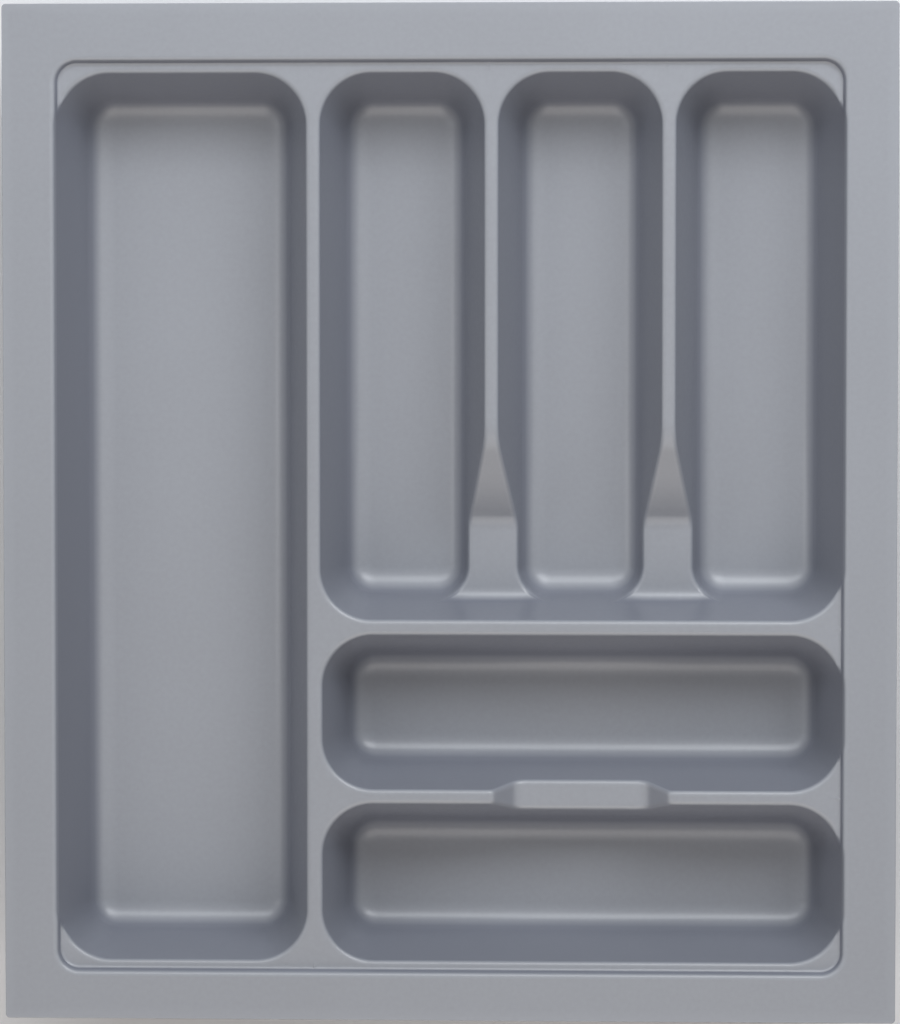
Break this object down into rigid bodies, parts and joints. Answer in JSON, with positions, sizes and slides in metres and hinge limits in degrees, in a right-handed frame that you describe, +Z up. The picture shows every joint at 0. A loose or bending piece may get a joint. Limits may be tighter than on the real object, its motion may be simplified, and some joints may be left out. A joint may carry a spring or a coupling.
{
  "type": "cutlery tray",
  "caption": "Vacuum-formed drawer insert with a flat trim rim, long, cutlery and cross compartments, scooped divider ends and a finger notch.",
  "frame": {"origin": "on the surface that the tray stands on, under the middle of its rim", "axes": "+X to the tray's right, +Y to its back, where the cutlery compartments are, +Z up"},
  "size_m": [0.43, 0.49, 0.05],
  "materials": {
    "tray_plastic": "satin grey, fine moulded grain"
  },
  "bodies": {
    "root": {"trim_rim": "tray_plastic", "long_compartment": "tray_plastic", "left_cutlery_compartment": "tray_plastic", "left_scoop_end": "tray_plastic", "middle_cutlery_compartment": "tray_plastic", "middle_scoop_end": "tray_plastic", "right_cutlery_compartment": "tray_plastic", "right_scoop_end": "tray_plastic", "back_cross_compartment": "tray_plastic", "front_cross_compartment": "tray_plastic"}
  },
  "joints": []
}
